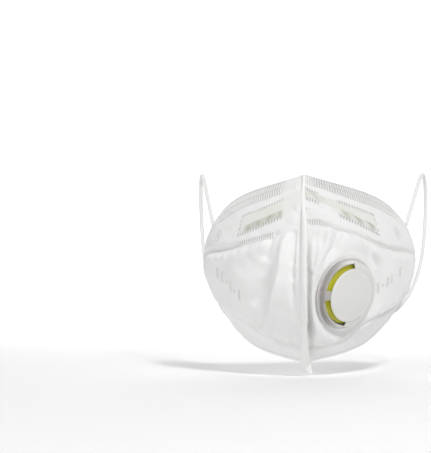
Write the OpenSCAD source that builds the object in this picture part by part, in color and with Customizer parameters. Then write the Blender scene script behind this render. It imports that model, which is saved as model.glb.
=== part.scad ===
// Disposable dust mask: vertical-fold, valved, ear-loop half mask. Millimetres.
// +Z up, -Y out of the face, +X the wearer's left. The origin is the centre of the face opening.

/* [Shell] */
// Height of the centre seam, chin to nose
seam_h = 118; // [105:1:130]
// How far the seam bulges forward of its ends
seam_bulge = 28; // [15:1:35]
// Distance from the face opening to the nose end of the seam
nose_y = 62; // [50:1:72]
// Distance from the face opening to the chin end of the seam
chin_y = 58; // [48:1:68]
// Half width at the upper cheek corner
corner_top_x = 64; // [55:1:72]
// Half width at the lower cheek corner
corner_low_x = 52; // [44:1:60]
// How far the cheek edge bulges sideways between its corners
cheek_bulge = 11; // [4:1:14]
// Angle between each half and the mid plane at the seam
seam_angle = 60; // [50:1:70]

/* [Layers] */
// Outer spunbond thickness
outer_t = 0.4; // [0.3:0.05:0.6]
// Hot-air cotton thickness
cotton_t = 0.45; // [0.3:0.05:0.7]
// Melt-blown filter thickness
filter_t = 0.4; // [0.3:0.05:0.6]
// Inner spunbond thickness
inner_t = 0.35; // [0.3:0.05:0.6]
// Gap between neighbouring layers
layer_gap = 0.1; // [0.08:0.01:0.15]
// Share of the layer stack left where the edges are welded
edge_press = 0.5; // [0.4:0.05:0.8]

/* [Seam fin] */
// Thickness of the welded fin
fin_t = 1.2; // [0.8:0.1:1.6]
// How far the fin stands in front of the panels
fin_out = 4; // [3:0.1:6]
// How far the fin's right face reaches behind the panels' outer face
fin_in = 2.2; // [1.5:0.1:3]
// How far the fin's edge leans over the right half
fin_lean = 2.8; // [0:0.1:4]
// How far the fin's left face widens towards the chin
fin_flare = 2; // [0:0.1:3]
// Drop of the slanted tab below the chin
fin_tab = 6; // [3:0.5:9]

/* [Nose wire] */
// Width of the flat wire
wire_w = 4; // [3:0.5:6]
// Thickness of the flat wire
wire_t = 0.7; // [0.5:0.1:0.9]
// Sixteenths of each half that the wire reaches across
wire_ribs = 8; // [6:1:9]
// Sixteenths of each half that the foam reaches across
foam_ribs = 7; // [5:1:9]

/* [Valve] */
// Radius of the base flange
flange_r = 23.4; // [20:0.1:25]
// Height of the rim wall over the fabric
rim_h = 4.8; // [4:0.1:5.2]
// Radius of the raised cover disc
cover_r = 16.8; // [15:0.1:17.5]
// Height of the cover's face over the fabric
cover_h = 7.7; // [7:0.1:9]
// Radius of the breathing flap
flap_r = 18.4; // [17:0.1:18.7]
// Turn of the valve towards the cheek
valve_yaw = 44; // [30:1:48]
// Downward tilt of the valve
valve_dip = 12; // [0:1:18]

/* [Ear loops] */
// Diameter of the elastic cord
cord_d = 2.8; // [2:0.1:4]

/* [Hidden] */
nu = 16;
// Rows up a half, closer together round the wire pocket and the welded edges
rows = [0, 0.03, 0.07, 0.13, 0.2, 0.28, 0.36, 0.44, 0.52, 0.6, 0.68, 0.75, 0.81, 0.835,
        0.862, 0.908, 0.935, 0.97, 1];
nv = len(rows) - 1;
wire_row = 0.885;
wire_drop = 0.18;
seam_z0 = -58;
cheek_z0 = -32;
cheek_h = 60;
cheek_y0 = -6;
cheek_y_bulge = 4;
press_w = 0.035;
pocket_lift = 0.9;
stack_t = outer_t + cotton_t + filter_t + inner_t + 3 * layer_gap;
cotton_d = outer_t + layer_gap;
filter_d = cotton_d + cotton_t + layer_gap;
inner_d = filter_d + filter_t + layer_gap;
edge_right = fin_t / 2 + 0.05;
edge_left = fin_t / 2 + 0.4;
// How far the fin's left face reaches over the edge of the left panel
fin_cover = 0.7;
// How far the fin's left face ends in front of the panels' outer face
fin_left = 0.1;
flat_r = 26;
fade_r = 42;
valve_u = 0.264;
valve_v = 0.364;
valve_sink = 2;
neck_r = 15.5;
rim_r = 20.5;
flap_z = 2.6;
flap_t = 0.6;
flap_pivot = 16.3;
bore_r = 14;
// The cover is open from here round the left side to the top, apart from one tab
web_from = -94;
web_sweep = 184;
tab_r = 3.6;
tab_l = 11;
tab_t = 0.8;
upper_dir = [0.25, 0.62, 0.6];
lower_dir = [0.3, 0.85, -0.1];

function mix(a, b, t) = a + (b - a) * t;
function unit(a) = a / norm(a);
function ease(t) = let (s = min(1, max(0, t))) s * s * (3 - 2 * s);
function bez(a, b, c, d, t) =
    let (s = 1 - t) s * s * s * a + 3 * s * s * t * b + 3 * s * t * t * c + t * t * t * d;

// ---- one half as a loft of Bezier ribs: u from the seam to the cheek, v from chin to nose ----
function seam_pt(v) = let (k = 1 - pow(2 * v - 1, 2))
    [0, -mix(chin_y, nose_y, v) - seam_bulge * k, seam_z0 + seam_h * v];
function cheek_pt(v) = let (k = 1 - pow(2 * v - 1, 2))
    [mix(corner_low_x, corner_top_x, v) + cheek_bulge * k,
     cheek_y0 * (1 - v) + cheek_y_bulge * k, cheek_z0 + cheek_h * v];
function seam_dir(v) = unit([sin(seam_angle), cos(seam_angle), mix(0.18, -0.28, v)]);
function cheek_dir(v) = let (s = 2 * v - 1)
    unit([0.08 + 0.34 * s * s, 1 - 0.35 * s * s, -0.68 * s * abs(s)]);
function rib(u, v) =
    let (a = seam_pt(v), d = cheek_pt(v), h = 0.38 * norm(d - a))
    bez(a, a + h * seam_dir(v), d - h * cheek_dir(v), d, u);

// ---- the valve's seat: the panel is drawn flat round it, but not at the seam itself ----
valve_n = [sin(valve_yaw) * cos(valve_dip), -cos(valve_yaw) * cos(valve_dip), -sin(valve_dip)];
valve_c = rib(valve_u, valve_v) - valve_sink * valve_n;
function skin(u, v, flat) =
    let (p = rib(u, v), q = p - valve_c, h = q * valve_n, r = norm(q - h * valve_n),
         w = flat ? (1 - ease((r - flat_r) / (fade_r - flat_r))) * ease(u * nu) : 0)
    p - valve_n * h * w;
// Rows follow the wire pocket, which drops away from the seam
function row_v(u, w) =
    w - wire_drop * u * (w < wire_row ? w / wire_row : (1 - w) / (1 - wire_row));
function press(u, w) =
    let (e = min(w, 1 - w, (1 - u) * 0.8))
    mix(edge_press, 1, ease(e / press_w));
function lift(u, w) =
    let (a = ease((w - 0.812) / 0.05) * ease((0.955 - w) / 0.047), b = ease((0.68 - u) / 0.1))
    pocket_lift * a * b;
function at(u, w, flat) = skin(u, row_v(u, w), flat);
function normal_at(u, w, flat) =
    let (e = 0.004,
         a = at(min(1, u + e), w, flat) - at(max(0, u - e), w, flat),
         b = at(u, min(1, w + e), flat) - at(u, max(0, w - e), flat))
    unit(cross(a, b));
// A point at depth d below the outer face; the first rib is mitred at the mid plane
function layer_pt(u, w, d, flat, x0, up) =
    let (d2 = stack_t / 2 + (d - stack_t / 2) * press(u, w) - up * lift(u, w),
         p = at(u, w, flat) - normal_at(u, w, flat) * d2, t = seam_dir(row_v(u, w)))
    u == 0 ? p + t * (x0 - p[0]) / t[0] : [max(x0, p[0]), p[1], p[2]];

function grid_faces(na, nb) =
    let (s = nb + 1, m = (na + 1) * (nb + 1)) concat(
        [for (i = [0:na - 1], j = [0:nb - 1]) [i * s + j, i * s + j + 1, (i + 1) * s + j]],
        [for (i = [0:na - 1], j = [0:nb - 1]) [i * s + j + 1, (i + 1) * s + j + 1, (i + 1) * s + j]],
        [for (i = [0:na - 1], j = [0:nb - 1]) [m + i * s + j, m + (i + 1) * s + j, m + i * s + j + 1]],
        [for (i = [0:na - 1], j = [0:nb - 1])
            [m + i * s + j + 1, m + (i + 1) * s + j, m + (i + 1) * s + j + 1]],
        [for (i = [0:na - 1]) each [[i * s, (i + 1) * s, m + i * s],
            [(i + 1) * s, m + (i + 1) * s, m + i * s]]],
        [for (i = [0:na - 1]) each [[i * s + nb, m + i * s + nb, (i + 1) * s + nb],
            [(i + 1) * s + nb, m + i * s + nb, m + (i + 1) * s + nb]]],
        [for (j = [0:nb - 1]) each [[j, m + j, j + 1], [j + 1, m + j, m + j + 1]]],
        [for (j = [0:nb - 1]) each [[na * s + j, na * s + j + 1, m + na * s + j],
            [na * s + j + 1, m + na * s + j + 1, m + na * s + j]]]);

// One fabric layer of a half, from depth d to depth d + t
module layer(d, t, flat, x0, up_out, up_in) {
    us = [for (i = [0:nu]) i / nu];
    outer = [for (u = us) for (w = rows) layer_pt(u, w, d, flat, x0, up_out)];
    inner = [for (u = us) for (w = rows) layer_pt(u, w, d + t, flat, x0, up_in)];
    polyhedron(points = concat(outer, inner), faces = grid_faces(nu, nv), convexity = 6);
}
module right_layer(d, t, up_out = 0, up_in = 0) {
    difference() {
        layer(d, t, true, edge_right, up_out, up_in);
        valve_place() translate([0, 0, -8]) cylinder(r = neck_r + 0.15, h = 12, $fn = 64);
    }
}
module left_layer(d, t, up_out = 0, up_in = 0) {
    mirror([1, 0, 0]) layer(d, t, false, edge_left, up_out, up_in);
}

module outer_panel_right() {
    color([0.93, 0.93, 0.92]) right_layer(0, outer_t, 1, 1);
}
module outer_panel_left() {
    color([0.93, 0.93, 0.92]) left_layer(0, outer_t, 1, 1);
}
module cotton_layer_right() {
    color([0.96, 0.96, 0.94]) right_layer(cotton_d, cotton_t);
}
module cotton_layer_left() {
    color([0.96, 0.96, 0.94]) left_layer(cotton_d, cotton_t);
}
module filter_layer_right() {
    color([0.9, 0.92, 0.94]) right_layer(filter_d, filter_t);
}
module filter_layer_left() {
    color([0.9, 0.92, 0.94]) left_layer(filter_d, filter_t);
}
module inner_lining_right() {
    color([0.95, 0.95, 0.95]) right_layer(inner_d, inner_t);
}
module inner_lining_left() {
    color([0.95, 0.95, 0.95]) left_layer(inner_d, inner_t);
}

// ---- the welded fin down the centre: it leans to the right and ends in a slanted tab at the chin ----
// One cross-section, its points from the left back corner round the front edge to the right one
function fin_ring(p, out, lean, drop, flare) = let (h = fin_t / 2, y = p[1], z = p[2])
    [[-h, y - fin_left, z - drop[0]],
     [-h - mix(fin_cover, fin_flare, flare), y - 1.2, z - drop[1]],
     [0.7 * h + lean - fin_t, y - out - 0.3, z - drop[2]], [lean, y - out + 0.1, z - drop[2]],
     [h, y - 0.9, z - drop[1]], [h, y + fin_in, z - drop[0]]];
function fin_at(v) = let (up = ease((v - 0.84) / 0.16), low = ease((0.12 - v) / 0.12))
    fin_ring(seam_pt(v), fin_out * (1 - 0.45 * up) * (1 - 0.2 * low),
        fin_lean * (1 - 0.35 * up) + 1.2 * low, [0, 0, 0], low);
module centre_seam() {
    n = 28;
    tab = fin_ring(seam_pt(0) + [0, 0.8, 0], fin_out, fin_lean + 2, [1, 1.4, fin_tab], 1.2);
    rings = concat(tab, [for (i = [0:n]) each fin_at(i / n)]);
    sides = [for (i = [0:n]) for (j = [0:5]) let (k = (j + 1) % 6)
        each [[6 * i + j, 6 * i + k, 6 * i + 6 + j], [6 * i + k, 6 * i + 6 + k, 6 * i + 6 + j]]];
    m = 6 * (n + 1);
    ends = [[0, 5, 1], [1, 5, 4], [1, 4, 2], [2, 4, 3],
        [m, m + 1, m + 5], [m + 1, m + 4, m + 5], [m + 1, m + 2, m + 4], [m + 2, m + 3, m + 4]];
    wire_at = seam_pt(wire_row);
    color([0.97, 0.97, 0.96]) difference() {
        polyhedron(points = rings, faces = concat(sides, ends), convexity = 6);
        translate([-2 * fin_t, wire_at[1] - 2.3, wire_at[2] - wire_w / 2 - 0.6])
            cube([4 * fin_t, 7, wire_w + 1.2]);
    }
}

// ---- nose wire and foam: strips that follow the pocket over both halves ----
// station k counts ribs from the seam, negative on the left half; the middle one is mitred
function strip_pt(k, w, d) =
    let (u = abs(k) / nu, p = at(u, w, false) - normal_at(u, w, false) * d, q = seam_pt(w))
    k == 0 ? [0, q[1] + d / sin(seam_angle), q[2]] : [sign(k) * p[0], p[1], p[2]];
module strip(n, w0, w1, d0, d1) {
    outer = [for (k = [-n:n]) for (w = [w0, w1]) strip_pt(k, w, d0)];
    inner = [for (k = [-n:n]) for (w = [w0, w1]) strip_pt(k, w, d1)];
    polyhedron(points = concat(outer, inner), faces = grid_faces(2 * n, 1), convexity = 6);
}
module nose_wire() {
    half_w = wire_w / 2 / seam_h;
    color([0.85, 0.85, 0.62])
        strip(wire_ribs, wire_row - half_w, wire_row + half_w,
            outer_t - pocket_lift + 0.12, outer_t - pocket_lift + 0.12 + wire_t);
}
module nose_foam() {
    color([0.9, 0.9, 0.88])
        strip(foam_ribs, 0.872, 0.975, stack_t + 0.4, stack_t + 3.2);
}

// ---- exhalation valve: local Z points out of the fabric, Z = 0 on its outer face ----
module valve_place() {
    translate(valve_c) rotate([90 + valve_dip, 0, valve_yaw]) children();
}
module tube(r1, r0, z0, z1) {
    translate([0, 0, z0]) difference() {
        cylinder(r = r1, h = z1 - z0, $fn = 96);
        translate([0, 0, -1]) cylinder(r = r0, h = z1 - z0 + 2, $fn = 96);
    }
}
module valve_base() {
    color([0.9, 0.9, 0.9]) valve_place() union() {
        tube(flange_r - 0.9, bore_r, 0.06, 1.2);
        translate([0, 0, 0.96]) rotate_extrude($fn = 96)
            translate([flange_r - 0.9, 0]) circle(r = 0.9, $fn = 24);
        tube(rim_r, rim_r - 1.3, 1, rim_h);
        tube(bore_r + 2.4, bore_r + 1.2, 1, flap_z - 0.35);
        tube(neck_r, bore_r, -stack_t - 1.7, 0.4);
        for (a = [0:60:120]) rotate([0, 0, a])
            translate([-bore_r - 0.5, -0.7, 0.06]) cube([2 * bore_r + 1, 1.4, 1.1]);
        translate([0, 0, 0.06]) cylinder(r = 2.6, h = 1.5, $fn = 48);
        translate([-7, flap_pivot - 0.6, 1]) cube([14, 2, flap_z - 1.35]);
    }
}
module valve_clamp_ring() {
    color([0.88, 0.88, 0.88]) valve_place()
        tube(flange_r - 1.8, neck_r + 0.05, -stack_t - 1.55, -stack_t - 0.25);
}
module valve_flap() {
    color([0.78, 0.76, 0.3]) valve_place() translate([0, 0, flap_z])
        cylinder(r = flap_r, h = flap_t, $fn = 96);
}
// A sloping web from the cover disc down to the top of the rim wall
module cover_web(from, sweep) {
    rotate([0, 0, from]) rotate_extrude(angle = sweep, $fn = 96)
        polygon([[cover_r - 1, cover_h - 1.2], [cover_r - 0.4, cover_h - 0.7], [rim_r - 0.05, rim_h + 0.9],
            [rim_r - 0.05, rim_h + 0.02], [rim_r - 1.1, rim_h + 0.02], [rim_r - 1.3, rim_h + 0.5]]);
}
module valve_cover() {
    under = cover_h - 1.2;
    color([0.9, 0.9, 0.89]) valve_place() union() {
        translate([0, 0, under]) cylinder(r = cover_r, h = 0.7, $fn = 96);
        translate([0, 0, cover_h - 0.5]) cylinder(r1 = cover_r, r2 = cover_r - 0.6, h = 0.5, $fn = 96);
        cover_web(web_from, web_sweep);
        cover_web(171, 18);
        for (x = [-5, 5]) translate([x, flap_pivot - 2.2, flap_z + flap_t + 0.4])
            cylinder(r = 1, h = under - flap_z - flap_t, $fn = 24);
    }
}

// ---- ear loops: elastic cord, worn shape, each held by two welded ends ----
loop_pts = [[62.85, 4.61, 28.5], [65.4, 11, 36], [68.6, 20, 47], [71.6, 30, 57], [74.2, 39.5, 62.5],
            [75.8, 47.5, 60], [76.6, 53, 50.5], [76.6, 55.5, 37], [75.8, 55.5, 22], [74, 52.5, 7],
            [70.6, 45, -6], [65.8, 33, -16.5], [59.6, 19, -24.3], [54.8, 8.5, -28.2],
            [52.19, 2.84, -29.18]];
function spline(p, i, t) =
    let (n = len(p) - 1, a = p[max(0, i - 1)], b = p[i], c = p[min(n, i + 1)], d = p[min(n, i + 2)])
    0.5 * (2 * b + (c - a) * t + (2 * a - 5 * b + 4 * c - d) * t * t
        + (3 * b - a - 3 * c + d) * t * t * t);
module cord(side) {
    n = 3 * (len(loop_pts) - 1);
    k = 10;
    pts = [for (i = [0:n]) i == n ? loop_pts[len(loop_pts) - 1]
        : spline(loop_pts, floor(i / 3), i / 3 - floor(i / 3))];
    ring = [for (i = [0:n])
        let (t = unit(pts[min(n, i + 1)] - pts[max(0, i - 1)]), a = unit(cross(t, [1, 0, 0])), b = cross(t, a))
        for (j = [0:k - 1]) pts[i] + cord_d / 2 * (cos(360 * j / k) * a + sin(360 * j / k) * b)];
    sides = [for (i = [0:n - 1]) for (j = [0:k - 1])
        let (j2 = (j + 1) % k) each [[i * k + j, (i + 1) * k + j, i * k + j2],
            [i * k + j2, (i + 1) * k + j, (i + 1) * k + j2]]];
    ends = [[for (j = [0:k - 1]) j], [for (j = [k - 1:-1:0]) n * k + j]];
    color([0.95, 0.95, 0.95]) mirror([side < 0 ? 1 : 0, 0, 0])
        polyhedron(points = ring, faces = concat(sides, ends), convexity = 8);
}
module ear_loop_right() {
    cord(1);
}
module ear_loop_left() {
    cord(-1);
}

// The flattened end of a loop: welded under the lining at [u, w] and running along dir to the cord
module loop_tab(u, w, dir, side) {
    n = normal_at(u, w, false);
    t = unit(dir - n * (dir * n));
    b = cross(n, t);
    p = at(u, w, false) - n * (stack_t + 0.35);
    color([0.94, 0.94, 0.94]) mirror([side < 0 ? 1 : 0, 0, 0])
        translate(p) rotate([atan2(b[2], n[2]), -asin(t[2]), atan2(t[1], t[0])])
            translate([0, 0, -tab_t]) union() {
                cylinder(r = tab_r, h = tab_t, $fn = 48);
                translate([0, -cord_d, 0]) cube([tab_l, 2 * cord_d, tab_t]);
            }
}
module loop_tab_upper_right() {
    loop_tab(0.93, 0.94, upper_dir, 1);
}
module loop_tab_upper_left() {
    loop_tab(0.93, 0.94, upper_dir, -1);
}
module loop_tab_lower_right() {
    loop_tab(0.93, 0.075, lower_dir, 1);
}
module loop_tab_lower_left() {
    loop_tab(0.93, 0.075, lower_dir, -1);
}

outer_panel_right();
outer_panel_left();
cotton_layer_right();
cotton_layer_left();
filter_layer_right();
filter_layer_left();
inner_lining_right();
inner_lining_left();
centre_seam();
nose_wire();
nose_foam();
valve_base();
valve_clamp_ring();
valve_flap();
valve_cover();
loop_tab_upper_right();
loop_tab_upper_left();
loop_tab_lower_right();
loop_tab_lower_left();
ear_loop_right();
ear_loop_left();
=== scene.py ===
"""A disposable dust mask: vertical fold, exhalation valve and two elastic ear loops, in its worn shape.

The CAD frame is in metres. The fabric is worked out in millimetres, on the same surface that the CAD
solids use, and scaled when a mesh is made. +Z is up, -Y out of the face, +X the wearer's left.
"""
from math import cos, pi, radians, sin

import bpy
import numpy as np
from mathutils import Matrix, Vector


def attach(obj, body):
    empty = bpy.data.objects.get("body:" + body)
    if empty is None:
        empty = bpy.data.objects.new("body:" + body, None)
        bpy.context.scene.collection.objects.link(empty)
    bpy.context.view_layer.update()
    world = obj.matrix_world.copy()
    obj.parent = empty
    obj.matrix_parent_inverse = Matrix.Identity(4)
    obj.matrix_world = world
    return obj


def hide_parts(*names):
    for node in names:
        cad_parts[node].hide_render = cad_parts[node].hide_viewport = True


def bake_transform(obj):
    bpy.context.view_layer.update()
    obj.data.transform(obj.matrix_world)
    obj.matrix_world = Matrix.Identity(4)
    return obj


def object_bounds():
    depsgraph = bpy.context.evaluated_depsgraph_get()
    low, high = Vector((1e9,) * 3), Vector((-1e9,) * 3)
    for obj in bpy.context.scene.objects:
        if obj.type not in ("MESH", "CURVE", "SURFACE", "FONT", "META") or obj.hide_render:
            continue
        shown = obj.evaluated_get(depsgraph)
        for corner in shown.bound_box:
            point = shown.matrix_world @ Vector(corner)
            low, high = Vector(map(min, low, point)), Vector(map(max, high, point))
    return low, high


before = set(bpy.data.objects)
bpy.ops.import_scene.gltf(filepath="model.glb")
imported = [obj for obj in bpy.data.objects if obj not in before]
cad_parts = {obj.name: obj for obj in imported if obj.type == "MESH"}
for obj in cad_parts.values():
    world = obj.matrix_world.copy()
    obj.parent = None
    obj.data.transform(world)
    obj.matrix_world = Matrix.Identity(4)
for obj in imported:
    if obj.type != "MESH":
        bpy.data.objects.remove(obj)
cad_box = [list(corner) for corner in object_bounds()]
MM = 0.001


# ---- camera ----
def new_object(name, data):
    made = bpy.data.objects.new(name, data)
    bpy.context.scene.collection.objects.link(made)
    return made


def aimed(name, data, place, target):
    """A camera or lamp that looks at a target."""
    made = new_object(name, data)
    made.location = place
    made.rotation_euler = (Vector(target) - Vector(place)).to_track_quat("-Z", "Y").to_euler()
    return made


def add_camera():
    """The mask stands at the right of the picture, so the camera is aimed beside it."""
    azimuth, elevation, distance = radians(2.64), radians(0.82), 1.16
    place = distance * Vector(
        (sin(azimuth) * cos(elevation), -cos(azimuth) * cos(elevation), sin(elevation)))
    data = bpy.data.cameras.new("camera")
    data.lens = 141
    data.sensor_width = 36
    data.clip_start = 0.05
    bpy.context.scene.camera = aimed("camera", data, place, (-0.0613, 0, 0.0276))


add_camera()


# ---- materials ----
class Look:
    """A material's shader, with short names for the nodes that feed it."""

    def __init__(self, name, colour, roughness, sheen=0, subsurface=0, specular=0.5):
        self.material = bpy.data.materials.new(name)
        self.material.use_nodes = True
        self.tree = self.material.node_tree
        self.inputs = self.tree.nodes["Principled BSDF"].inputs
        for entry, value in (("Base Color", colour), ("Roughness", roughness), ("Sheen Weight", sheen),
                             ("Sheen Roughness", 0.6), ("Subsurface Weight", subsurface),
                             ("Subsurface Scale", 0.001), ("Specular IOR Level", specular)):
            self.feed(value, self.inputs[entry])
        self.inputs["Subsurface Radius"].default_value = (1, 1, 1)
        self.where = self.node("ShaderNodeTexCoord").outputs["Object"]

    def feed(self, value, entry):
        """Gives an input a number, a colour or another node's output."""
        if isinstance(value, (int, float)):
            entry.default_value = value
        elif isinstance(value, tuple):
            entry.default_value = (*value, 1)
        else:
            self.tree.links.new(value, entry)

    def node(self, kind, *parts, **values):
        """A new node; parts go into its inputs in turn, and values by name."""
        made = self.tree.nodes.new(kind)
        for part, entry in zip(parts, made.inputs):
            self.feed(part, entry)
        for name, value in values.items():
            if name in made.inputs:
                self.feed(value, made.inputs[name])
            else:
                setattr(made, name, value)
        return made

    def noise(self, scale, detail):
        return self.node("ShaderNodeTexNoise", Vector=self.where, Scale=scale, Detail=detail).outputs["Fac"]

    def attribute(self, name):
        return self.node("ShaderNodeAttribute", attribute_name=name).outputs["Fac"]

    def scaled(self, value, low, high, out_low=0, out_high=1):
        return self.node("ShaderNodeMapRange", value, low, high, out_low, out_high).outputs[0]

    def maths(self, operation, a, b):
        return self.node("ShaderNodeMath", a, b, operation=operation).outputs[0]

    def mixed(self, factor, a, b):
        """Colour mix of a and b; each is a colour or a socket."""
        made = self.node("ShaderNodeMix", data_type="RGBA")
        for part, k in ((factor, 0), (a, 6), (b, 7)):
            self.feed(part, made.inputs[k])
        return made.outputs[2]

    def mottled(self, noise, colour, share):
        """The colour, darkened to a share of itself in patches."""
        return self.mixed(self.scaled(noise, 0.3, 0.7), tuple(share * c for c in colour), colour)

    def finished(self, colour, height, distance, strength):
        """The material, with its last colour and its bump."""
        bump = self.node("ShaderNodeBump", Height=height, Strength=strength, Distance=distance)
        self.feed(bump.outputs[0], self.inputs["Normal"])
        self.feed(colour, self.inputs["Base Color"])
        return self.material


def spunbond(name, colour, dark, warm):
    """Point-bonded nonwoven: rows of small sunk bond points in a mat of fine fibres.

    The attribute "weld" is 1 where the fabric is pressed to a film, and also holds
    painted shade in creases, beside the fin and in the groove above the hem; "pocket" is where the warm
    nose wire shines through, and "metal" where the wire itself does.
    """
    look = Look(name, colour, 0.78, sheen=0.25, subsurface=0.12, specular=0.25)
    points = look.node("ShaderNodeTexVoronoi", Vector=look.where, Scale=1150, Randomness=0.35)
    bond = look.scaled(points.outputs["Distance"], 0.12, 0.42)
    fibres, clouds = look.noise(2600, 4), look.noise(75, 4)
    weld = look.attribute("weld")
    base = look.mottled(clouds, colour, 0.975)
    base = look.mixed(look.attribute("pocket"), base, warm)
    base = look.mixed(look.attribute("metal"), base, (0.44, 0.44, 0.35))
    base = look.mixed(look.scaled(bond, 0, 1, 0.1, 0), base, dark)
    # Pressed film and painted shade both darken the cloth here
    base = look.mixed(look.maths("MULTIPLY", weld, 0.75), base, dark)
    look.feed(look.scaled(weld, 0, 1, 0.8, 0.5), look.inputs["Roughness"])
    height = look.maths("ADD", bond, look.maths("MULTIPLY", fibres, 0.7))
    height = look.maths("MULTIPLY", height, look.scaled(weld, 0, 1, 1, 0.25))
    return look.finished(base, height, 0.00012, 0.5)


def fleece(name, colour, scale, depth):
    """Soft fibre mat for the layers between the spunbond ones."""
    look = Look(name, colour, 0.9, sheen=0.4, subsurface=0.1, specular=0.2)
    coarse, fine = look.noise(scale, 5), look.noise(scale * 6, 3)
    return look.finished(look.mottled(coarse, colour, 0.92), look.maths("ADD", coarse, fine), depth, 0.7)


def foam_material(colour, pit_shade_colour):
    """Open-celled foam, with painted shade in the hollows of its cells."""
    look = Look("foam", colour, 0.95, sheen=0.2, specular=0.2)
    cells = look.node("ShaderNodeTexVoronoi", Vector=look.where, Scale=1500)
    pits = look.scaled(cells.outputs["Distance"], 0.05, 0.5)
    return look.finished(look.mixed(pits, pit_shade_colour, colour), pits, 0.0003, 0.8)


# The colour that painted shade mixes into the valve's plastic
PLASTIC_SHADE_COLOUR = (0.44, 0.42, 0.405)


def plastic(name, colour, roughness):
    """Moulded plastic: a faint orange peel and slightly uneven gloss; the attribute painted_shade darkens
    it with painted shade.
    """
    look = Look(name, colour, roughness, subsurface=0.15)
    peel, clouds = look.noise(900, 2), look.noise(60, 3)
    look.feed(look.scaled(clouds, 0.3, 0.7, roughness - 0.06, roughness + 0.06), look.inputs["Roughness"])
    tint = look.mixed(look.attribute("painted_shade"), look.mottled(clouds, colour, 0.965), PLASTIC_SHADE_COLOUR)
    return look.finished(tint, peel, 0.00004, 0.4)


def rubber():
    """Yellow silicone with a fine bloom of powder."""
    look = Look("flap_rubber", (0.90, 0.87, 0.14), 0.5, subsurface=0.2)
    bloom, grain = look.noise(160, 5), look.noise(1400, 2)
    tint = look.mixed(look.scaled(bloom, 0.35, 0.7), (0.76, 0.74, 0.05), (0.86, 0.83, 0.13))
    return look.finished(tint, grain, 0.00003, 0.4)


def metal():
    """Coated aluminium strip, dull and slightly olive."""
    look = Look("nose_wire", (0.55, 0.55, 0.42), 0.45)
    look.feed(0.3, look.inputs["Metallic"])
    scuffs = look.noise(500, 4)
    tint = look.mixed(look.scaled(scuffs, 0.35, 0.7), (0.46, 0.46, 0.34), (0.62, 0.62, 0.5))
    return look.finished(tint, scuffs, 0.00005, 0.4)


def elastic():
    """Knitted elastic: fine lengthwise wales and a little fuzz."""
    look = Look("elastic", (0.92, 0.92, 0.91), 0.85, sheen=0.3, specular=0.25)
    knit = look.node("ShaderNodeTexWave", Vector=look.where, Scale=420, Distortion=3)
    look.feed(2, knit.inputs["Detail Scale"])
    wales, fuzz = knit.outputs["Fac"], look.noise(2200, 4)
    tint = look.mixed(wales, (0.80, 0.80, 0.79), (0.93, 0.93, 0.92))
    return look.finished(tint, look.maths("ADD", wales, fuzz), 0.00015, 0.6)


OUTER = spunbond("spunbond_outer", (0.905, 0.903, 0.898), (0.40, 0.40, 0.39), (0.785, 0.79, 0.725))
LINING = spunbond("spunbond_inner", (0.88, 0.885, 0.885), (0.66, 0.66, 0.66), (0.86, 0.86, 0.82))
COTTON = fleece("cotton", (0.92, 0.92, 0.90), 350, 0.0003)
FILTER = fleece("meltblown", (0.86, 0.89, 0.92), 900, 0.0001)
WELD = spunbond("seam_weld", (0.91, 0.91, 0.90), (0.70, 0.70, 0.69), (0.88, 0.88, 0.86))
FOAM = foam_material((0.86, 0.86, 0.83), (0.62, 0.62, 0.59))
VALVE = plastic("valve_plastic", (0.85, 0.835, 0.83), 0.42)
COVER = plastic("cover_plastic", (0.78, 0.775, 0.755), 0.5)
RUBBER = rubber()
WIRE = metal()
ELASTIC = elastic()


# ---- meshes ----
def mesh_object(name, points, faces, material):
    """A smooth mesh object from points in metres."""
    mesh = bpy.data.meshes.new(name)
    mesh.from_pydata(points, [], faces)
    mesh.polygons.foreach_set("use_smooth", [True] * len(mesh.polygons))
    mesh.materials.append(material)
    return new_object(name, mesh)


def add_piece(name, points_mm, faces, material, sharp_angle, masks=None):
    """A piece from points in millimetres; masks holds the values that its material reads, by name."""
    piece = mesh_object(name, (np.asarray(points_mm, float) * MM).tolist(), faces, material)
    piece.data.set_sharp_from_angle(angle=radians(sharp_angle))
    for key, values in (masks or {}).items():
        mask = piece.data.attributes.new(key, "FLOAT", "POINT")
        mask.data.foreach_set("value", np.asarray(values, np.float32))
    return piece


def ring_faces(steps, count, closed=True):
    """Quads between rings of count points; closed joins the last ring to the first."""
    faces = []
    for i in range(steps if closed else steps - 1):
        a, b = i * count, (i + 1) % steps * count
        faces += [[a + j, a + (j + 1) % count, b + (j + 1) % count, b + j] for j in range(count)]
    return faces


def tube_faces(rings, count):
    """Quads round a stack of rings of count points each, and a cap on both ends."""
    caps = [list(range(count))[::-1], [(rings - 1) * count + j for j in range(count)]]
    return ring_faces(rings, count, closed=False) + caps


def whole_turn(steps):
    return np.linspace(0, 2 * pi, steps, endpoint=False)


def rounded(angle, power):
    """A point of a rounded square of half-width 1; a power of 1 makes it a circle."""
    c, s = cos(angle), sin(angle)
    return np.sign(c) * abs(c) ** power, np.sign(s) * abs(s) ** power


# ---- ear loops ----
# The route of the right loop, the same points as the CAD solid follows, in metres
LOOP = [(0.06285, 0.00461, 0.0285), (0.0654, 0.011, 0.036), (0.0686, 0.02, 0.047), (0.0716, 0.03, 0.057),
        (0.0742, 0.0395, 0.0625), (0.0758, 0.0475, 0.06), (0.0766, 0.053, 0.0505), (0.0766, 0.0555, 0.037),
        (0.0758, 0.0555, 0.022), (0.074, 0.0525, 0.007), (0.0706, 0.045, -0.006), (0.0658, 0.033, -0.0165),
        (0.0596, 0.019, -0.0243), (0.0548, 0.0085, -0.0282), (0.05219, 0.00284, -0.02918)]
CORD_D = 0.0028


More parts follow.
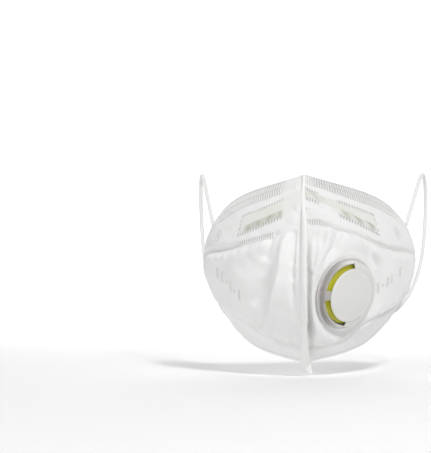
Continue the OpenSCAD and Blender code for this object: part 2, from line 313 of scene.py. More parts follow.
def ear_loop(side, name):
    curve = bpy.data.curves.new(name, "CURVE")
    curve.dimensions = "3D"
    curve.bevel_depth = CORD_D / 2
    curve.bevel_resolution = 4
    curve.resolution_u = 8
    curve.use_fill_caps = True
    route = [Vector((side * x, y, z)) for x, y, z in LOOP]
    spline = curve.splines.new("BEZIER")
    spline.bezier_points.add(len(route) - 1)
    for k, (knot, point) in enumerate(zip(spline.bezier_points, route)):
        onward = (route[min(k + 1, len(route) - 1)] - route[max(k - 1, 0)]) / 6
        knot.co, knot.handle_left, knot.handle_right = point, point - onward, point + onward
    curve.materials.append(ELASTIC)
    loop = new_object("elastic_" + name, curve)
    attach(loop, name.replace("ear_", ""))
    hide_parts(name)


ear_loop(1, "ear_loop_right")
ear_loop(-1, "ear_loop_left")

# ---- the half's surface, in millimetres ----
# u runs from the seam to the cheek's edge, and w from the chin up to the nose, as in the CAD
# The seam, and the direction in which ribs leave it
SEAM_H, SEAM_Z0, SEAM_BULGE, NOSE_Y, CHIN_Y = 118, -58, 28, 62, 58
SEAM_ANGLE, SEAM_RISE, SEAM_RISE_LOSS = radians(60), 0.18, 0.46
# The cheek's edge, and how stiffly the ribs turn towards it
CORNER_TOP_X, CORNER_LOW_X, CHEEK_BULGE, CHEEK_Z0, CHEEK_H = 64, 52, 11, -32, 60
CHEEK_Y0, CHEEK_Y_BULGE, HANDLE = -6, 4, 0.38
# The nose wire's row, how far rows drop at the cheek, and half the wire's width, as w
WIRE_ROW, WIRE_DROP, WIRE_HALF = 0.885, 0.18, 2 / 118
# Thickness of all layers, its share left at a pressed edge, that edge's width and the pocket's rise
STACK_T, EDGE_PRESS, PRESS_W, POCKET_LIFT = 1.9, 0.5, 0.035, 0.9
# Depth of the pressed spots in the outer face, and how far the lining rises where it is welded
DENT_DEPTH, LINING_WELD_RISE = 0.75, 0.14
# Where each half ends at the seam, and how far from it the layers are drawn to that plane
EDGE_X = {1: 0.65, -1: 0.68}
MITRE_U = 1 / 16
# The fin, and how much flatter and more upright it is at the nose
FIN_T, FIN_OUT, FIN_IN, FIN_LEAN, FIN_TAB, FIN_FLARE, FIN_COVER = 1.2, 4, 2.2, 2.8, 6, 2, 0.15
FIN_FLAT_NOSE, FIN_UPRIGHT_NOSE = 0.8, 0.7
# The valve's direction and place, the flattened cloth round it, and the hole in the cloth
VALVE_YAW, VALVE_DIP, VALVE_U, VALVE_V, VALVE_SINK = radians(44), radians(12), 0.264, 0.364, 2
FLAT_R, FADE_R, HOLE_R = 26, 42, 15.65


def unit(a):
    return a / np.linalg.norm(a, axis=-1, keepdims=True)


def ease(t):
    t = np.clip(t, 0, 1)
    return t * t * (3 - 2 * t)


def stack3(x, y, z):
    return np.stack(np.broadcast_arrays(x, y, z), -1).astype(float)


def seam_pt(v):
    k = 1 - (2 * v - 1) ** 2
    return stack3(0 * v, -(CHIN_Y + (NOSE_Y - CHIN_Y) * v) - SEAM_BULGE * k, SEAM_Z0 + SEAM_H * v)


def seam_dir(v):
    """Direction in which the rib at v leaves the seam."""
    return unit(stack3(sin(SEAM_ANGLE), cos(SEAM_ANGLE), SEAM_RISE - SEAM_RISE_LOSS * v))


def rib(u, v):
    """A point of the outer face: each rib is a cubic curve from the seam to the cheek's edge."""
    k, s = 1 - (2 * v - 1) ** 2, 2 * v - 1
    a = seam_pt(v)
    d = stack3(CORNER_LOW_X + (CORNER_TOP_X - CORNER_LOW_X) * v + CHEEK_BULGE * k,
               CHEEK_Y0 * (1 - v) + CHEEK_Y_BULGE * k, CHEEK_Z0 + CHEEK_H * v)
    cheek_dir = unit(stack3(0.08 + 0.34 * s * s, 1 - 0.35 * s * s, -0.68 * s * np.abs(s)))
    h = HANDLE * np.linalg.norm(d - a, axis=-1, keepdims=True)
    t = u[..., None]
    r = 1 - t
    return (r ** 3 * a + 3 * r * r * t * (a + h * seam_dir(v)) + 3 * r * t * t * (d - h * cheek_dir)
            + t ** 3 * d)


VALVE_N = np.array([sin(VALVE_YAW) * cos(VALVE_DIP), -cos(VALVE_YAW) * cos(VALVE_DIP), -sin(VALVE_DIP)])
VALVE_C = rib(np.array([VALVE_U]), np.array([VALVE_V]))[0] - VALVE_SINK * VALVE_N
VALVE_X = np.array([cos(VALVE_YAW), sin(VALVE_YAW), 0])
VALVE_Y = np.cross(VALVE_N, VALVE_X)


def row_v(u, w):
    """The rib that row w has reached at u: rows dip towards the cheek."""
    return w - WIRE_DROP * u * np.where(w < WIRE_ROW, w / WIRE_ROW, (1 - w) / (1 - WIRE_ROW))


def from_valve(p):
    """Distance from the valve's axis, and the two offsets that make it up."""
    x, y = (p - VALVE_C) @ VALVE_X, (p - VALVE_C) @ VALVE_Y
    return np.hypot(x, y), x, y


def at(u, w, flat):
    """A point of a half; flat presses it to a plane round the valve."""
    p = rib(u, row_v(u, w))
    if not flat:
        return p
    h, r = (p - VALVE_C) @ VALVE_N, from_valve(p)[0]
    share = (1 - ease((r - FLAT_R) / (FADE_R - FLAT_R))) * ease(u / MITRE_U)
    return p - VALVE_N * (h * share)[..., None]


def normal_at(u, w, flat):
    e = 0.004
    across = at(np.minimum(1, u + e), w, flat) - at(np.maximum(0, u - e), w, flat)
    up = at(u, np.minimum(1, w + e), flat) - at(u, np.maximum(0, w - e), flat)
    return unit(np.cross(across, up))


# Arc length along the row just under the top edge: the tick marks are set out along it
TABLE_U = np.linspace(0, 1, 401)
TABLE_S = np.concatenate([[0], np.cumsum(np.linalg.norm(
    np.diff(at(TABLE_U, np.full(401, 0.97), False), axis=0), axis=-1))])


# ---- what is pressed into the fabric ----
def window(x, low, high, soft):
    """1 between low and high, falling to 0 over soft on each side."""
    return ease((x - low) / soft + 0.5) * ease((high - x) / soft + 0.5)


def bell(x, width):
    return np.exp(-(x / width) ** 2)


def comb(x, pitch):
    """A wave from 0 to 1 with its peaks a pitch apart."""
    return 0.5 + 0.5 * np.cos(2 * pi * x / pitch)


def along(u, points):
    return np.interp(u, [p[0] for p in points], [p[1] for p in points])


def path_distance(x, z, points):
    """Distance to a polyline in the front view, and how far along it the nearest point is, 0 to 1."""
    best, where = np.full(x.shape, 1e9), np.zeros(x.shape)
    for k, ((ax, az), (bx, bz)) in enumerate(zip(points, points[1:])):
        dx, dz = bx - ax, bz - az
        t = np.clip(((x - ax) * dx + (z - az) * dz) / (dx * dx + dz * dz), 0, 1)
        d = np.hypot(x - ax - t * dx, z - az - t * dz)
        nearer = d < best
        best = np.where(nearer, d, best)
        where = np.where(nearer, (k + t) / (len(points) - 1), where)
    return best, where


# Rows as (u, w): the top weld's lower line, the wire pocket's two rows of spots, the second weld and
# the groove above the hem
TOP_LINE = {1: [(0, 0.945), (0.12, 0.957), (0.3, 0.95), (0.57, 0.955), (0.75, 0.957), (1, 0.945)],
            -1: [(0, 0.942), (0.3, 0.944), (0.7, 0.942), (1, 0.955)]}
POCKET_TOP = {1: [(0, 0.922), (0.25, 0.92), (0.44, 0.921), (0.56, 0.927)],
              -1: [(0, 0.912), (0.25, 0.905), (0.35, 0.907), (0.5, 0.913)]}
POCKET_LOW = {1: [(0, 0.868), (0.06, 0.874), (0.09, 0.872), (0.26, 0.853), (0.37, 0.848), (0.5, 0.839)],
              -1: [(0, 0.815), (0.2, 0.81), (0.5, 0.81)]}
SECOND = {1: [(0, 0.752), (0.05, 0.758), (0.1, 0.772), (0.2, 0.779), (0.33, 0.791), (0.4, 0.786),
              (0.47, 0.767), (0.55, 0.768), (0.65, 0.781), (0.78, 0.82), (1, 0.87)],
          -1: [(0, 0.72), (0.2, 0.729), (0.33, 0.738), (0.45, 0.743), (0.53, 0.748), (0.65, 0.772),
               (0.77, 0.812), (1, 0.87)]}
LOW_GROOVE = {1: [(0, 0.075), (0.06, 0.08), (0.2, 0.098), (0.32, 0.122), (0.43, 0.18), (0.57, 0.218),
                  (1, 0.26)],
              -1: [(0, 0.075), (0.2, 0.09), (0.33, 0.125), (0.45, 0.17), (0.6, 0.215), (1, 0.26)]}
# Where the pocket and the wire end, as u
POCKET_END = {1: 0.505, -1: 0.455}
WIRE_END = {1: 0.49, -1: 0.43}
# Spacing of the welds' ticks and of the dashes across the pocket's end
TICK, SMALL_TICK, END_DASH = 1.9, 1.52, 3.1
# The top weld's two rows of ticks and three lines, as shares of its width
TICK_ROWS, TOP_LINES, LINE_W = ((0.07, 0.42), (0.52, 0.86)), (0, 0.46, 0.9), 0.45

# Folds in the front view: (points in X and Z, height in mm, width in mm)
FOLDS = {-1: [([(-9.5, 22), (-12, 10), (-16.5, -12), (-23, -37)], 4.2, 3.5),
              ([(-5.4, 22), (-6, 6), (-5.6, -20)], -2.3, 2),
              ([(-2.6, 22), (-2.8, 0), (-2.4, -30)], 0.8, 1.5),
              ([(-17, 26), (-20, 17), (-24, 9)], -2.3, 1.9),
              ([(-22, 22), (-25, 15), (-30, 8)], 0.9, 2.4),
              ([(-19.5, 3), (-23.5, -7), (-29, -18)], -6.6, 5.2),
              ([(-36, 8), (-44, -18), (-40, -30)], 1.2, 7)],
         1: [([(2.2, 17), (3, 0), (3.2, -20), (3.2, -46)], -3.9, 2.1),
             ([(7.6, 25), (7.9, 14), (6.6, 2)], -1.9, 1.7),
             ([(5.2, 22), (5.4, 10)], 1, 1.3),
             ([(12.3, 24), (12.5, 14)], -1.2, 1.5),
             ([(21.6, 24), (20.2, 14), (15.2, 4)], -4.8, 2.5),
             ([(15.4, 24), (14, 13)], 1.5, 1.7),
             ([(38.5, 19), (41.5, 12), (43.5, 3)], -2.1, 1.7),
             ([(46, 12), (49, 0), (50, -12)], 1.2, 4),
             ([(4, -8), (5, -24), (10, -34), (22, -43)], 1.2, 4.5)]}
# The round marks near the upper corners: centres as (u, w), the ring's radius and its bars
SPOT = {1: (0.715, 0.905), -1: (0.688, 0.89)}
SPOT_R, SPOT_BARS, SPOT_BAR_H = 3.6, (-1.3, 0, 1.3), 3.6
# Generic pressed marks on the cheeks: start and end in X and Z, and the height of each bar
MARKS = {1: ((45.2, -11.6), (59.2, -1.8), (6.4, 1.4, 6.4, 6.4, 1.4, 6.4)),
         -1: ((-56.3, -2), (-40.3, -15.2), (6.4, 6.4, 1.4, 6.4, 1.4, 6.4))}
# Seeds of the fixed waves in soft_noise: one for each half's fabric and one for the wire's mottling
WANDER_SEED, MOTTLE_SEED = {1: 1.3, -1: 2.1}, 0.7
# Where the cloth round the valve starts to puff and to fold, as (radius, width of the change)
PUFF_FROM, FOLD_FROM = (24, 11), (23.6, 6)


def soft_noise(x, z, seed):
    """Slow unevenness of hand-folded fabric, from a few fixed waves."""
    total = np.zeros(x.shape)
    for k in range(7):
        angle, length, height = seed + 2.4 * k, 26 - 3 * k, 0.16 - 0.012 * k
        total += height * np.sin((x * cos(angle) + z * sin(angle)) * 2 * pi / length + 1.7 * k * seed)
    return total


class Relief:
    """Everything pressed into one half, sampled on a grid of u and w.

    shift moves all layers, floor squeezes them towards the lining, and lift raises the outer layer over
    the wire. fine raises and dent sinks its front face only. weld, pocket and metal are
    masks for the fabric's material; the first also holds painted shade in creases, beside the fin and in
    the groove above the hem. Lengths are in mm along the cloth.
    """

    def __init__(self, side, u, w):
        self.side, self.flat, self.u, self.w = side, side > 0, u, w
        self.p = at(u, w, self.flat)
        self.x, self.z = side * self.p[..., 0], self.p[..., 2]
        step = 0.002
        up, down = np.minimum(1, w + step), np.maximum(0, w - step)
        climb = at(u, up, self.flat) - at(u, down, self.flat)
        self.mm_per_w = np.linalg.norm(climb, axis=-1) / (up - down)
        self.arc = np.interp(u, TABLE_U, TABLE_S)
        self.above, self.below = self.over_row(POCKET_TOP), self.over_row(POCKET_LOW)
        self.second, self.groove = self.over_row(SECOND), self.over_row(LOW_GROOVE)
        self.low_fade = 1 - 0.5 * ease((u - 0.6) / 0.3)

        top_weld, pocket_weld, second_weld = self.top_weld(), self.wire_pocket(), self.second_weld()
        spot_weld, marks, hem = self.corner_spot(), self.cheek_marks(), self.hem()
        self.shift = self.fabric_shift()
        # Painted shade is added to the welds here: along the second weld's crease, beside the fin and at
        # the nose, and in the groove above the hem
        weld = np.clip(top_weld + pocket_weld + second_weld + 0.6 * spot_weld + 0.5 * hem
                       + 0.42 * self.painted_crease_shade + 0.7 * self.painted_seam_shadow()
                       + 0.25 * bell(self.groove, 0.8) * self.low_fade, 0, 1)
        self.weld = np.clip(weld + 0.45 * marks, 0, 1)

        # The welded bands are pressed thin, and the cloth between their ticks stands up again
        top_edge = ease((1 - w) * self.mm_per_w / 0.8)
        second_floor = window(self.second, -2.9, 2.9, 0.8) * self.ticks_on
        second_fine = window(self.second, -2.6, 2.6, 0.8) * self.ticks_on
        self.floor = 0.55 * self.top_band * top_edge + 0.5 * second_floor
        self.fine = (0.5 * self.top_band + 0.45 * second_fine) * (1 - weld) * top_edge
        self.dent = 0.45 * np.clip(pocket_weld + spot_weld, 0, 1) + 0.75 * marks + 0.2 * hem
        self.tint_pocket()

    def over_row(self, rows):
        """How far above a row each point lies."""
        return (self.w - along(self.u, rows[self.side])) * self.mm_per_w

    def top_weld(self):
        """Two rows of ticks between three lines, closing to plain lines at the corner."""
        line = along(self.u, TOP_LINE[self.side])
        t = (self.w - line) / (1 - line)
        band = (1 - line) * self.mm_per_w
        self.top_band = ease(t * band / 0.8 + 0.5)
        corner = ease((self.u - 0.74) / 0.08)
        if self.side > 0:
            near_seam = 0.55 + 0.45 * ease((self.u - 0.02) / 0.1)
        else:
            near_seam = 0.15 + 0.85 * ease((self.u - 0.1) / 0.12)
        rows = sum(window(t, low, high, 0.08) for low, high in TICK_ROWS)
        ticks = rows * ease(1.4 * comb(self.arc, TICK) - 0.15) * (1 - corner)
        lines = sum(bell((t - line_at) * band, LINE_W) for line_at in TOP_LINES)
        return np.clip(ticks + 0.8 * lines, 0, 1) * near_seam

    def wire_pocket(self):
        """A row of spots above and below the wire, and dashes across the pocket's end."""
        u, side, above, below = self.u, self.side, self.above, self.below
        past_end = (u - POCKET_END[side]) * TABLE_S[-1]
        drawn = 1 - window(u, 0.09, 0.22, 0.02) if side > 0 else ease((u - 0.12) / 0.03)
        spot_row = ease(1.6 * comb(self.arc, TICK) - 0.3) * (1 - ease((past_end + 0.6) / 1.2)) * drawn
        spots = (window(above, -1, 1.3, 0.5) + window(below, -1.1, 1.1, 0.5)) * spot_row
        end_cap = bell(past_end, 0.9) * (above < 0.8) * (below > -0.8) * comb(above, END_DASH)
        self.raised = ease((below - 0.4) / 2) * ease((-above - 0.2) / 1.6) * (
            1 - ease((past_end + 2.6) / 2.4))
        from_wire = np.abs(self.w - WIRE_ROW) * self.mm_per_w
        past_wire = u - WIRE_END[side]
        over_wire = (1 - ease((from_wire - 2) / 1.6)) * (1 - ease(past_wire / 0.025))
        self.lift = POCKET_LIFT * np.maximum(over_wire, 0.8 * self.raised)
        # No fold may reach the wire
        self.clear = 1 - (1 - ease((from_wire - 3) / 4)) * (1 - ease(past_wire / 0.08))
        return np.clip(spots + end_cap, 0, 1)

    def second_weld(self):
        """Ticks near the seam and past the cheekbone, a smooth valley between."""
        u, second = self.u, self.second
        valley_on = 1 - ease((u - 0.93) / 0.05)
        if self.side > 0:
            ticks_on = np.clip(1 - ease((u - 0.1) / 0.03) + window(u, 0.42, 0.56, 0.03), 0, 1)
            crease_shade_strength = 1
        else:
            ticks_on = window(u, 0.18, 0.42, 0.02)
            valley_on = ease((u - 0.12) / 0.08) * valley_on
            crease_shade_strength = 0.4
        self.ticks_on, self.valley_on = ticks_on, valley_on
        self.valley = bell(second, 2) * valley_on * (1 - 0.75 * ticks_on)
        # Painted shade along the smooth valley's crease, weaker on the left half
        self.painted_crease_shade = bell(second, 1.3) * valley_on * (1 - ticks_on) * crease_shade_strength
        return window(second, -2.2, 2.2, 0.6) * ticks_on * ease(1.5 * comb(self.arc, SMALL_TICK) - 0.25)

    def corner_spot(self):
        """A ring around three upright bars near the upper corner."""
        spot = np.array(SPOT[self.side])
        n = normal_at(spot[:1], spot[1:], self.flat)[0]
        up = unit(np.array([0, 0, 1]) - n[2] * n)
        offset = self.p - at(spot[:1], spot[1:], self.flat)[0]
        x, y = offset @ np.cross(up, n), offset @ up
        ring = bell(np.hypot(x, y) - SPOT_R, 0.6)
        bars = sum(bell(x - bar, 0.5) for bar in SPOT_BARS)
        return np.clip(0.7 * ring + bars * window(y, -SPOT_BAR_H / 2, SPOT_BAR_H / 2, 0.8), 0, 1)

    def cheek_marks(self):
        """A slanting row of upright bars and dots."""
        start, end, heights = MARKS[self.side]
        half_w = 0.6
        total = np.zeros(self.x.shape)
        for (x, z), height in zip(np.linspace(start, end, len(heights)), heights):
            total += window(self.x - x, -half_w, half_w, 0.7) * window(
                self.z - z, -height / 2, height / 2, 0.9)
        return np.clip(total, 0, 1)

    def hem(self):
        """A thin pressed line along the bottom edge and the cheek edge."""
        from_bottom, from_cheek = self.w * self.mm_per_w, (1 - self.u) * TABLE_S[-1]
        return bell(from_bottom - 2.4, 0.4) + bell(from_cheek - 2.6, 0.4)

    def painted_seam_shadow(self):
        """Painted shadow on the right half beside the fin, which leans over it, and painted shade in the
        hollow at the nose.
        """
        painted_fin_shadow = bell(self.arc - 2.2, 1.5) * window(self.z, -40, 14, 12)
        painted_nose_shade = 0.35 * bell(self.arc - 3, 4) * window(self.second, 1.5, 9, 5)
        return (painted_fin_shadow + painted_nose_shade) * (self.side > 0)

    def folds(self):
        """The folds drawn in the front view, faded out at the second weld and under the flange."""
        total = np.zeros(self.x.shape)
        for points, height, width in FOLDS[self.side]:
            distance, where = path_distance(self.x, self.z, points)
            total += height * bell(distance, width) * (0.55 + 0.45 * np.sin(pi * where))
        total = total * (1 - ease((self.second + 4.5) / 5))
        if self.side < 0:
            return total
        radius, _, height = from_valve(self.p)
        self.free = ease((radius - PUFF_FROM[0]) / PUFF_FROM[1])
        nose_hollow = 2.4 * bell(self.arc - 1.2, 4.4) * window(self.second, 2, 9, 4)
        flange_hollow = 0.5 * bell(radius - 26, 5) * ease((radius - 22.8) / 3.5) * ease(height / 22)
        folds_on = ease((radius - FOLD_FROM[0]) / FOLD_FROM[1])
        return total * folds_on - nose_hollow - flange_hollow

    def fabric_shift(self):
        """Folds, puffed cheeks and gathers, held down at the edges, the wire and the valve."""
        u, w, arc, second, groove = self.u, self.w, self.arc, self.second, self.groove
        seam_hold = 0.02 if self.side > 0 else 0.05
        inside = ease(u / seam_hold) * ease((1 - u) / 0.06) * ease(w / 0.04) * ease((1 - w) / 0.05)
        self.free = 1
        folds = self.folds()
        cheek_fade = 1 - ease((u - 0.68) / 0.24)
        puff = (2.1 * bell(second + 6, 3.8) * self.valley_on + 1.2 * bell(groove - 6, 4.5)) * cheek_fade
        wander = soft_noise(self.x, self.z, WANDER_SEED[self.side])
        gathers = np.sin(2 * pi * arc / 7.4 + 3 * wander) * bell(second + 4.5, 3.6) * 0.36 * self.valley_on
        gathers += np.sin(2 * pi * arc / 8.9 + 4 * wander) * bell(groove - 4, 3.2) * 0.4
        gathers += np.sin(2 * pi * self.z / 10.5 + 5 * wander) * bell(arc - 4.5, 3.4) * 0.35
        pressed = 2.5 * self.valley * (0.4 + 0.6 * cheek_fade) + 1.6 * bell(groove, 1.6) * self.low_fade
        return inside * self.clear * (folds + self.free * (puff + gathers + 0.9 * wander - pressed))

    def tint_pocket(self):
        """Warm tint of the pocket, and the wire showing through it in slanted patches."""
        u, below = self.u, self.below
        self.pocket = self.raised * 0.8 * (0.6 + 0.4 * ease((0.5 - u) / 0.3))
        slant = np.sin((self.arc + 1.1 * below) * 2 * pi / 9.5 + 0.4)
        mottle = soft_noise(3 * self.arc, 3 * below, MOTTLE_SEED)
        if self.side > 0:
            patch = 0.2 + 0.7 * ease((slant + 0.6 * mottle + 1.1) / 2.2)
            wire_band = window(below, 1.2, 7, 3.2)
            shown = window(u, 0.24, 0.48, 0.03) + 0.5 * (1 - ease((u - 0.1) / 0.05))
        else:
            self.pocket = self.pocket * (0.4 + 0.6 * ease((u - 0.08) / 0.1))
            patch = 0.75 + 0.6 * mottle
            wire_band = window(below, 0.9, 4.8, 2.2)
            shown = window(u, 0.13, 0.4, 0.03)
        self.metal = 0.85 * np.clip(wire_band * patch * shown, 0, 1)


# ---- fabric layers ----
def sheet_quads(keep):
    """Quads of a closed sheet: front, back and the walls round every kept region."""
    s = keep.shape[1] + 1
    m = (keep.shape[0] + 1) * s
    i, j = np.nonzero(keep)
    a = i * s + j
    b, c, d = a + s, a + s + 1, a + 1
    quads = [np.stack([a, b, c, d], 1), np.stack([m + d, m + c, m + b, m + a], 1)]
    padded = np.pad(keep, 1)
    sides = ((padded[i, j + 1], a, d), (padded[i + 2, j + 1], c, b),
             (padded[i + 1, j], b, a), (padded[i + 1, j + 2], d, c))
    for neighbour, p, q in sides:
        p, q = p[~neighbour], q[~neighbour]
        quads.append(np.stack([p, q, m + q, m + p], 1))
    return np.concatenate(quads)


def cut_round(q, radius):
    """Moves the points inside the valve's hole out to its edge."""
    r, x, y = from_valve(q)
    grow = np.maximum(radius / np.maximum(r, 1e-6) - 1, 0)
    return q + VALVE_X * (x * grow)[..., None] + VALVE_Y * (y * grow)[..., None]


def fabric(name, side, depth, thickness, grid, material):
    """One layer of a half as a closed sheet, between depth and depth + thickness under the outer face."""
    outer, lining = material is OUTER, material is LINING
    flat = side > 0
    u, w = np.meshgrid(*grid, indexing="ij")
    p, n = at(u, w, flat), normal_at(u, w, flat)
    relief = Relief(side, u, w)
    edge = np.minimum(np.minimum(w, 1 - w), (1 - u) * 0.8)
    press = EDGE_PRESS + (1 - EDGE_PRESS) * ease(edge / PRESS_W)
    toward_seam = seam_dir(row_v(u, w))
    mitre = np.clip(1 - u / MITRE_U, 0, 1)

    def face(d, front):
        depth_here = STACK_T / 2 + (d - STACK_T / 2) * press + relief.floor * (1 - d / STACK_T)
        if outer:
            depth_here = depth_here - relief.lift
            if front:
                depth_here = depth_here - relief.fine + DENT_DEPTH * relief.dent
        if lining and not front:
            depth_here = depth_here - LINING_WELD_RISE * relief.weld
        q = p - n * (depth_here - relief.shift)[..., None]
        pull = (EDGE_X[side] - q[:1, :, 0]) / toward_seam[:1, :, 0]
        q = q + toward_seam * (pull * mitre)[..., None]
        q[..., 0] = np.maximum(q[..., 0], EDGE_X[side])
        return q

    sheets = [face(depth, True), face(depth + thickness, False)]
    keep = np.ones((u.shape[0] - 1, u.shape[1] - 1), bool)
    if flat:
        sheets = [cut_round(q, HOLE_R) for q in sheets]
        inside = from_valve(p)[0] < HOLE_R
        keep = ~(inside[:-1, :-1] & inside[1:, :-1] & inside[:-1, 1:] & inside[1:, 1:])
    points = np.concatenate([q.reshape(-1, 3) for q in sheets]) * np.array([side, 1, 1])
    quads = sheet_quads(keep)
    if side < 0:
        quads = quads[:, ::-1]
    used, quads_flat = np.unique(quads, return_inverse=True)
    masks = {"weld": relief.weld, "pocket": relief.pocket, "metal": relief.metal}
    if lining:
        masks = {"weld": 0.6 * relief.weld}
    masks = {key: np.tile(values.ravel(), 2)[used] for key, values in masks.items()}
    faces = quads_flat.reshape(quads.shape).tolist()
    return add_piece(name, points[used], faces, material, 60, masks)


def spaced(stops):
    """Values from stops: (value, steps up to the next value)."""
    runs = [np.linspace(a, b, count, endpoint=False) for (a, count), (b, _) in zip(stops, stops[1:])]
    return np.concatenate(runs + [[stops[-1][0]]])


def columns_of(step):
    count = int(round(TABLE_S[-1] / step))
    return np.interp(np.linspace(0, TABLE_S[-1], count + 1), TABLE_S, TABLE_U)


# Grids of columns and rows: the outer panel's columns take five steps to a tick
FINE = (columns_of(TICK / 5),
        spaced([(0, 12), (0.04, 60), (0.44, 16), (0.54, 14), (0.68, 50), (0.86, 18), (0.93, 34), (1, 0)]))
MID = (columns_of(0.6), spaced([(0, 8), (0.04, 40), (0.68, 24), (0.86, 12), (0.93, 22), (1, 0)]))
COARSE = (columns_of(1.3), spaced([(0, 6), (0.04, 34), (0.68, 18), (0.86, 8), (0.93, 10), (1, 0)]))
# Each layer: its CAD node, depth and thickness, grid, material and slot
LAYERS = (("outer_panel", 0, 0.4, FINE, OUTER, "spunbond_outer"),
          ("cotton_layer", 0.5, 0.45, COARSE, COTTON, "cotton"),
          ("filter_layer", 1.05, 0.4, COARSE, FILTER, "meltblown"),
          ("inner_lining", 1.55, 0.35, MID, LINING, "spunbond_inner"))


def add_layers():
    for side, half in ((1, "right"), (-1, "left")):
        for base, depth, thickness, grid, material, slot in LAYERS:
            piece = fabric(f"{base}_{half}_cloth", side, depth, thickness, grid, material)
            if side > 0:
                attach(piece, "right_half")
            else:
                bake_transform(piece)
            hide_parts(f"{base}_{half}")


add_layers()


# ---- centre fin ----
def fin_ring(p, out, lean, drops, back, flare):
    """The fin's section at a point of the seam; drops lower its root, middle and tip."""
    h, y, z = FIN_T / 2, p[1], p[2]
    root, middle, tip = drops
    wide = FIN_COVER + (FIN_FLARE - FIN_COVER) * flare
    left_tip = 0.7 * h + lean - FIN_T
    return [(-h, y + back, z - root), (-h - wide, y - 1.2, z - middle),
            ((left_tip - h - wide) / 2 - 0.15, y - 0.75 - 0.5 * out, z - (middle + tip) / 2),
            (left_tip, y - out - 0.3, z - tip), (lean - 0.45, y - out - 0.32, z - tip),
            (lean - 0.05, y - out - 0.12, z - tip), (lean, y - out + 0.12, z - tip),
            (h + 0.45 * (lean - h) + 0.1, y - 0.5 * out - 0.35, z - middle - 0.45 * (tip - middle)),
            (h, y - 0.9, z - middle), (h, y + back, z - root)]


def add_fin():
    """The welded fin leans over the right half and ends in a slanted tab under the chin."""
    chin_lean, chin_narrowing, tab_forward, tab_lean = 1.2, 0.2, 0.8, 2
    rings = []
    for t in np.linspace(0, 1, 10, endpoint=False):
        p = seam_pt(np.array(0.0)) + np.array([0, tab_forward * (1 - t), 0])
        drops = [(1 - t) * d for d in (1, 1.4, FIN_TAB)]
        rings.append(fin_ring(p, FIN_OUT * (1 - chin_narrowing * t),
                              FIN_LEAN + tab_lean * (1 - t) + chin_lean * t, drops, FIN_IN, 1.2 - 0.2 * t))
    wire_z = SEAM_Z0 + SEAM_H * WIRE_ROW
    for v in np.linspace(0, 1, 241):
        nose, chin = float(ease((v - 0.7) / 0.2)), float(ease((0.12 - v) / 0.12))
        p = seam_pt(np.array(v))
        over_wire = float(ease((3.4 - abs(p[2] - wire_z)) / 0.7))
        back = FIN_IN * (1 - over_wire) - 0.7 * over_wire
        wave = 0.12 * sin(v * 23) + 0.08 * sin(v * 51 + 1)
        out = FIN_OUT * (1 - FIN_FLAT_NOSE * nose) * (1 - chin_narrowing * chin)
        lean = FIN_LEAN * (1 - FIN_UPRIGHT_NOSE * nose) + chin_lean * chin + wave
        rings.append(fin_ring(p, out, lean, (0, 0, 0), back, chin))
    fin = add_piece("centre_fin", np.concatenate(rings), tube_faces(len(rings), len(rings[0])),
                    WELD, 50)
    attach(fin, "right_half")
    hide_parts("centre_seam")


add_fin()


# ---- nose wire and foam ----
def strip(name, ends, rows, depths, across, stations, squareness, material):
    """A strip that follows the pocket over both halves, with a rounded section.

    rows and depths are the section's edges, as w and as mm under the outer face.
    """
    k = np.linspace(-1, 1, stations)
    u = np.abs(k) * np.where(k < 0, ends[-1], ends[1])
    round_end = ease((1 - np.abs(k)) * across + 0.02) ** 0.5
    toward_corner = np.clip(1 - u / MITRE_U, 0, 1)
    half_w, half_d = (rows[1] - rows[0]) / 2, (depths[1] - depths[0]) / 2
    lines = []
    for angle in whole_turn(20):
        dw, dd = rounded(angle, squareness)
        w = sum(rows) / 2 + dw * half_w * round_end
        d = sum(depths) / 2 + dd * half_d
        p = at(u, w, False) - normal_at(u, w, False) * d
        toward_seam = seam_dir(row_v(u, w))
        over = d * cos(SEAM_ANGLE) / toward_seam[:, 0]
        p = p + toward_seam * (over * toward_corner)[:, None]
        p[:, 0] = np.sign(k) * np.maximum(p[:, 0], 0)
        lines.append(p)
    faces = [face[::-1] for face in tube_faces(stations, len(lines))]
    piece = add_piece(name, np.stack(lines, 1).reshape(-1, 3), faces, material, 50)
    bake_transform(piece)
    return piece


FOAM_END = 7 / 16
wire = strip("nose_wire_strip", WIRE_END, (WIRE_ROW - WIRE_HALF, WIRE_ROW + WIRE_HALF), (-0.38, 0.32),
             12, 121, 0.35, WIRE)
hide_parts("nose_wire")
foam = strip("nose_foam_pad", {1: FOAM_END, -1: FOAM_END}, (0.872, 0.975), (2.05, 5.1),
             10, 91, 0.45, FOAM)
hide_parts("nose_foam")


# ---- valve ----
VALVE_MATRIX = Matrix(list(zip(VALVE_X, VALVE_Y, VALVE_N, VALVE_C)) + [(0, 0, 0, 1)])
# The cover's web, as (start, sweep) in degrees: the long one, and the short one that is its tab
WEBS = ((-94, 184), (171, 18))
RIM_R, BORE_R, FLAP_R, TURN_STEPS = 20.5, 14, 18.4, 160


def turned(profile, angles):
    """Points of a profile of (radius, height) at each angle about Z."""
    return [(r * cos(a), r * sin(a), z) for a in angles for r, z in profile]


def lathe(profile):
    """A closed profile turned about Z, as points and faces."""
    faces = ring_faces(TURN_STEPS, len(profile))
    return turned(profile, whole_turn(TURN_STEPS)), [face[::-1] for face in faces]


def solid_lathe(profile, steps=TURN_STEPS):
    """Like lathe, for an open profile that starts and ends on the axis."""
    points = turned(profile[1:-1], whole_turn(steps))
    k = len(profile) - 2
    low, high = len(points), len(points) + 1
    points += [(0, 0, profile[0][1]), (0, 0, profile[-1][1])]
    faces = []
    for i in range(steps):
        a, b = i * k, (i + 1) % steps * k
        faces += [[a + j, b + j, b + j + 1, a + j + 1] for j in range(k - 1)]
        faces += [[low, b, a], [high, a + k - 1, b + k - 1]]
    return points, faces


